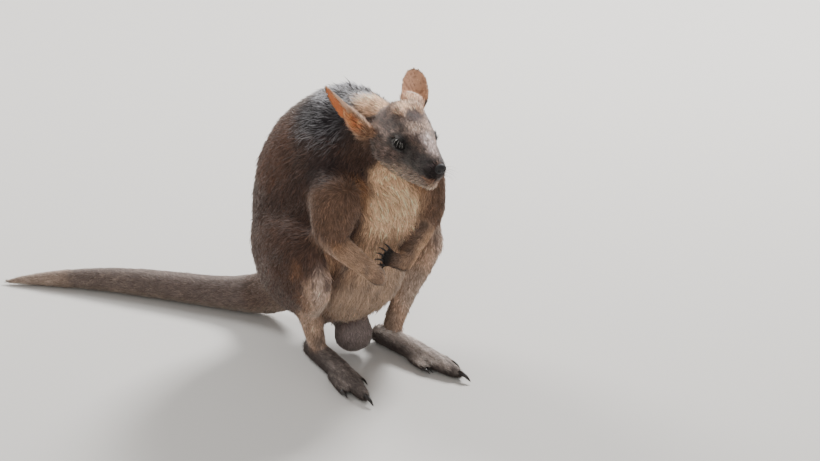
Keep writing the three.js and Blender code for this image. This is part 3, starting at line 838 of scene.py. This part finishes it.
def fur_piece(name, made, own_share):
    """One piece of the coat. It is shaded by its locks' own roundness and by the hide under them."""
    points, faces, shades, spots, soft_normals = made
    points[:, 2] = np.maximum(points[:, 2], GROUND_GAP)
    mesh = bpy.data.meshes.new(name)
    mesh.vertices.add(len(points))
    put_places(mesh, points)
    mesh.loops.add(faces.size)
    mesh.loops.foreach_set("vertex_index", faces.astype(np.int32).ravel())
    mesh.polygons.add(len(faces))
    mesh.polygons.foreach_set("loop_start", np.arange(0, faces.size, 3, dtype=np.int32))
    mesh.update(calc_edges=True)
    mesh.polygons.foreach_set("use_smooth", np.ones(len(faces), dtype=bool))
    uv = mesh.uv_layers.new(name="OFBake")
    uv.data.foreach_set("uv", spots[faces.ravel()].astype(np.float32).ravel())
    keep_colour(mesh, shades)
    mixed = normals_of(mesh) * own_share + soft_normals * (1.2 - own_share)
    mesh.normals_split_custom_set_from_vertices(unit(mixed).tolist())
    mesh.materials.append(fur)
    piece = bpy.data.objects.new(name, mesh)
    bpy.context.scene.collection.objects.link(piece)
    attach(piece, "root")


long_haired = np.isin(part_at, LONG_HAIRED)
body_flat = unwrap(long_haired, "body_sheet")
for layer in range(BODY_LAYERS):
    made = locks_on(long_haired, BODY_LOCKS // BODY_LAYERS, 100 + layer, body_flat, bent=True)
    fur_piece(f"body_coat_{layer + 1}", made, BODY_ROUNDNESS)
for name, slot, parts, count, seed, own_share in SHORT_COATS:
    wanted = np.isin(part_at, parts)
    made = locks_on(wanted, count, seed, unwrap(wanted, name + "_sheet"), bent=False)
    fur_piece(name, made, own_share)

# ---------------------------------------------------------------------------------------------
# The eyes: wet, nearly black balls, of which only the slit between the lids shows. Each is one round
# ball, seated behind its lids in the side of the head.

PLAIN_GRAIN = {"Scale": 700, "Detail": 2, "Darkest": 0.7, "Lightest": 1.3}
EYE_SURFACE = {"Roughness": 0.36, "Coat Weight": 0.2, "Coat Roughness": 0.12, "Specular IOR Level": 0.1}


def solid_piece(name, bm, material, stands_for):
    mesh = bpy.data.meshes.new(name)
    bm.to_mesh(mesh)
    bm.free()
    mesh.materials.append(material)
    mesh.polygons.foreach_set("use_smooth", np.ones(len(mesh.polygons), dtype=bool))
    piece = bpy.data.objects.new(name, mesh)
    bpy.context.scene.collection.objects.link(piece)
    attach(piece, "root")
    if stands_for:
        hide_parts(*stands_for)


wet_eye = grained_finish("wet_eye", EYE_SURFACE, PLAIN_GRAIN, (12, 8, 6))
for side, word in ((1, "left"), (-1, "right")):
    bm = bmesh.new()
    bmesh.ops.create_icosphere(bm, subdivisions=5, radius=EYE_RADIUS * MM)
    middle = from_head((EYE_OUT * side, 0, 0)) + HEELS_MIDWAY
    bmesh.ops.translate(bm, verts=bm.verts, vec=Vector(middle * MM))
    solid_piece(f"eyeball_{word}", bm, wet_eye, [f"eye_{word}"])

# ---------------------------------------------------------------------------------------------
# The nose pad: bare, pebbled black skin on the end of the muzzle, with a comma-shaped nostril on
# each side and a groove between them. It is one ball pressed to shape, grown into the muzzle.

PAD_HALVES = (7.0, 4.2, 6.0)
PAD_PLACE = (0, -51.2, -7)  # in the head
NOSTRIL_OUT, NOSTRIL_DOWN = 0.52, 0.12  # from the pad's middle, as shares of its halves
PLAIN_RELIEF = (0.15 * MM, 0.6)

bm = bmesh.new()
bmesh.ops.create_icosphere(bm, subdivisions=5, radius=1)
for v in bm.verts:
    x, y, z = v.co
    droop = z + NOSTRIL_DOWN + 0.3 * (abs(x) - 0.5)
    pit = math.exp(-(((abs(x) - NOSTRIL_OUT) / 0.22) ** 2) - ((droop / 0.2) ** 2)) if y < 0 else 0
    groove = math.exp(-((x / 0.09) ** 2)) * (z < 0.1) * 0.14
    pressed = np.array((x, y * (1 - 0.75 * pit - groove), z * (1 - 0.1 * abs(x)))) * PAD_HALVES
    v.co = Vector((from_head(pressed + PAD_PLACE) + HEELS_MIDWAY) * MM)
nose_skin = grained_finish("nose_skin", {"Roughness": 0.62}, PLAIN_GRAIN, (20, 17, 18), PLAIN_RELIEF)
solid_piece("nose", bm, nose_skin, ["nose_pad"])

# ---------------------------------------------------------------------------------------------
# The claws: curved cones of dark horn, heavy on the fourth toes and fine on the fingers. Each is
# drawn out along its own solid, and is rooted in the hair at the end of its toe or finger.

TOES = ("fourth", "fifth", "second", "third")
CLAWS = []  # each claw's solid and the solid that it grows from
for word in ("left", "right"):
    CLAWS += [(f"{toe}_toe_claw_{word}", f"hind_foot_{word}") for toe in TOES]
for word in ("left", "right"):
    CLAWS += [(f"finger_claw_{i}_{word}", f"hand_{word}") for i in range(1, 6)]
CLAW_ROOT = 1.5 * MM  # further in than the solid goes
CLAW_LEAST = 0.2 * MM  # added all along its thickness, so that its tip isn't a needle
CLAW_BOW = 0.1  # of its length
CLAW_FLATNESS = 0.85  # its width against its height

horn = grained_finish("claw_horn", {"Roughness": 0.3}, PLAIN_GRAIN, (40, 35, 33), PLAIN_RELIEF)


def ring_edges(bm, cuts):
    """Cuts a cone of height 1 across into rings."""
    sides = [e for e in bm.edges if abs(e.verts[0].co.z - e.verts[1].co.z) > 0.5]
    bmesh.ops.subdivide_edges(bm, edges=sides, cuts=cuts)


for claw_name, limb in CLAWS:
    own = np.array([v.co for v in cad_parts[claw_name].data.vertices])
    body = np.array([v.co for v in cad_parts[limb].data.vertices]).mean(0)
    axis = np.linalg.svd(own - own.mean(0))[2][0]
    axis *= np.sign((own.mean(0) - body) @ axis)
    along = (own - own.mean(0)) @ axis
    tip, back = own[along.argmax()], own.mean(0) + axis * along.min()
    wide = own[along < np.quantile(along, 0.4)]
    thick = np.linalg.norm((wide - back) - ((wide - back) @ axis)[:, None] * axis, axis=1).mean()
    bow = np.linalg.norm(tip - back) * CLAW_BOW
    root = back - axis * CLAW_ROOT
    bm = bmesh.new()
    bmesh.ops.create_cone(bm, segments=10, radius1=1, radius2=1, depth=1, cap_ends=True)
    ring_edges(bm, 7)
    sideways = unit(np.cross(axis, (0, 0, 1)))
    over = np.cross(sideways, axis)
    for v in bm.verts:
        s = v.co.z + 0.5
        fat = thick * (1 - s**1.7) ** 0.7 + CLAW_LEAST
        middle = root + (tip - root) * s + over * bow * math.sin(math.pi * s)
        v.co = Vector(middle + sideways * v.co.x * fat * CLAW_FLATNESS + over * v.co.y * fat)
    bmesh.ops.recalc_face_normals(bm, faces=bm.faces)
    solid_piece(claw_name + "_horn", bm, horn, [claw_name])

# ---------------------------------------------------------------------------------------------
# Whiskers and lashes: stiff single hairs, dark on the muzzle and white above the eyes, each one a
# thin bent cone rooted under the coat.

WHISKER_THICK, WHISKER_BOW = 0.16, np.array((0, 0, 1.5))  # half its thickness at the root, and its rise
LASH_THICK, LASH_BOW = 0.13, np.array((0, 0, 0.8))

rng = np.random.default_rng(7)


def bent_hair(bm, root, tip, bow, thick):
    """A five-sided hair from root to tip, both in the head, that rises by `bow` in its middle."""
    root, tip = from_head(root), from_head(tip)
    one = bmesh.new()
    bmesh.ops.create_cone(one, segments=5, radius1=1, radius2=0.15, depth=1, cap_ends=True)
    ring_edges(one, 5)
    axis = unit(tip - root)
    across = unit(np.cross(axis, (0.3, 0.2, 1)))
    over = np.cross(across, axis)
    for v in one.verts:
        s = v.co.z + 0.5
        place = root + (tip - root) * s + bow * math.sin(math.pi * s)
        v.co = Vector((place + (across * v.co.x + over * v.co.y) * thick + HEELS_MIDWAY) * MM)
    bmesh.ops.recalc_face_normals(one, faces=one.faces)
    mesh = bpy.data.meshes.new("hair")
    one.to_mesh(mesh)
    one.free()
    bm.from_mesh(mesh)
    bpy.data.meshes.remove(mesh)


muzzle_hairs, lashes = bmesh.new(), bmesh.new()
for side in (1, -1):
    for i in range(9):
        row, step = divmod(i, 3)
        root = np.array((side * (10.5 + 0.9 * step), -47 + 3.6 * step, -11 - 4 * row))
        way = unit(np.array((side * (1.0 + 0.1 * row), -0.25 + 0.5 * step, -0.35 - 0.2 * row)))
        reach = 17 + 5 * step + 3 * rng.random()
        bent_hair(muzzle_hairs, root, root + way * reach, WHISKER_BOW, WHISKER_THICK)
    for i in range(6):
        share = i / 5 - 0.5
        root = np.array((side * (25.5 - 3.5 * abs(share)), -1 + 12 * share, 5.2 - 4 * share**2))
        forward, down = -0.5 + 0.8 * share + 0.6 * rng.normal(), -0.7 + 0.35 * rng.normal()
        way = unit(np.array((side * 0.75, forward, down)))
        reach = 6 + 2.5 * rng.random()
        bent_hair(lashes, root, root + way * reach, LASH_BOW, LASH_THICK)
for name, hairs, finish, swatch in [
    ("whiskers", muzzle_hairs, "dark_hair", (40, 34, 32)),
    ("lashes", lashes, "white_hair", (226, 220, 212)),
]:
    hair_finish = grained_finish(finish, {"Roughness": 0.4}, PLAIN_GRAIN, swatch, PLAIN_RELIEF)
    solid_piece(name, hairs, hair_finish, None)

# ---------------------------------------------------------------------------------------------
# The floor, the light and the camera: a plain pale studio, with a matt painted floor, a strong soft
# lamp on the animal's left, a weak broad one beside the camera, and one behind the animal.

FLOOR_HALF = 6  # half its side, in metres
FLOOR_PAINT = (0.62, 0.6, 0.57, 1)
LAMPS = [  # name, place in metres, watts, width in metres
    ("key", (1.9, 0.45, 1.9), 125, 0.7),
    ("fill", (-1.8, -1.9, 1.6), 15, 1.6),
    ("back", (-0.3, 2.3, 1.7), 60, 1.0),
]
LIT = Vector((0.05, -0.1, 0.15))  # the lamps point here, in metres
LOOK_AT = np.array((99.74, -7.43, 125.28))  # the camera points here
CAMERA_TURN, CAMERA_RISE = math.radians(-40), math.radians(25)  # from straight in front of the animal
CAMERA_FAR = 3300
LENS = 123.146  # on a film 36 wide

bm = bmesh.new()
bmesh.ops.create_grid(bm, x_segments=1, y_segments=1, size=FLOOR_HALF)
mesh = bpy.data.meshes.new("floor")
bm.to_mesh(mesh)
bm.free()
floor = bpy.data.objects.new("floor", mesh)
bpy.context.scene.collection.objects.link(floor)
matt = bpy.data.materials.new("floor_paint")
matt.use_nodes = True
matt.node_tree.nodes["Principled BSDF"].inputs["Base Color"].default_value = FLOOR_PAINT
matt.node_tree.nodes["Principled BSDF"].inputs["Roughness"].default_value = 0.9
mesh.materials.append(matt)

world = bpy.data.worlds.new("studio")
bpy.context.scene.world = world
world.use_nodes = True
world.node_tree.nodes["Background"].inputs["Color"].default_value = (1, 0.98, 0.96, 1)
world.node_tree.nodes["Background"].inputs["Strength"].default_value = 0.55

for name, place, power, size in LAMPS:
    lamp = bpy.data.lights.new(name, "AREA")
    lamp.energy, lamp.size = power, size
    light = bpy.data.objects.new(name, lamp)
    light.location = place
    light.rotation_mode = "QUATERNION"
    light.rotation_quaternion = (LIT - Vector(place)).to_track_quat("-Z", "Y")
    bpy.context.scene.collection.objects.link(light)

level = math.cos(CAMERA_RISE)
away = np.array((math.sin(CAMERA_TURN) * level, -math.cos(CAMERA_TURN) * level, math.sin(CAMERA_RISE)))
look_at = Vector((HEELS_MIDWAY + LOOK_AT) * MM)
camera_place = look_at + Vector(away * CAMERA_FAR * MM)
lens = bpy.data.cameras.new("camera")
lens.sensor_width, lens.lens = 36, LENS
camera = bpy.data.objects.new("camera", lens)
camera.location = camera_place
camera.rotation_mode = "QUATERNION"
camera.rotation_quaternion = (look_at - camera_place).to_track_quat("-Z", "Y")
bpy.context.scene.collection.objects.link(camera)
bpy.context.scene.camera = camera
